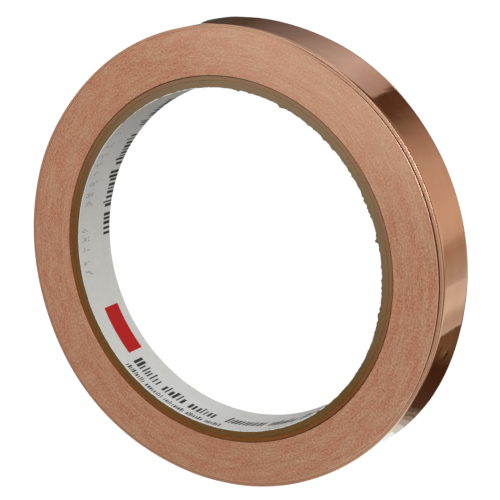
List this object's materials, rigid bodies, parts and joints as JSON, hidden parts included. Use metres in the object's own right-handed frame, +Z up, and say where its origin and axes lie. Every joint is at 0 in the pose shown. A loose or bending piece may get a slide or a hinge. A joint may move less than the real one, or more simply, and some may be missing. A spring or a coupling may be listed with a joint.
{
  "type": "copper foil tape roll",
  "caption": "Roll of copper foil tape wound on a paperboard core, with its last turns sprung loose and a free end that lifts and peels from its release paper.",
  "frame": {"origin": "bottom centre of the roll, where it stands on its rim", "axes": "+Y along the roll's axis from its front side face to its back one, +Z up, +X towards the side where the last turns are sprung loose"},
  "size_m": [0.1026, 0.0126, 0.1024],
  "materials": {
    "copper_foil": "bright rolled copper",
    "wound_edge": "satin slit edge of the wound copper foil",
    "release_paper": "coated release paper",
    "printed_paper": "printed, matt",
    "grey_board": "raw grey chipboard",
    "brown_board": "raw brown kraft board",
    "splice_tape": "crepe paper tape"
  },
  "bodies": {
    "roll": {"core_liner": "printed_paper", "core_inner_plies": "grey_board", "core_outer_plies": "brown_board", "start_tape": "splice_tape", "tight_turns": "wound_edge", "foil_turns": "copper_foil", "liner_turns": "release_paper"},
    "tape_end": {"liner_end": "release_paper", "foil_bend": "copper_foil"},
    "peeled_foil": {"foil_end": "copper_foil"}
  },
  "joints": [
    {"name": "tape_end_lift", "type": "hinge", "parent": "roll", "child": "tape_end", "pos_m": [0.01439, 0, 0.10016], "axis": [0, 1, 0], "range_deg": [0, 95]},
    {"name": "foil_peel", "type": "hinge", "parent": "tape_end", "child": "peeled_foil", "pos_m": [0.00783, 0, 0.10171], "axis": [0, 1, 0], "range_deg": [0, 65]}
  ]
}
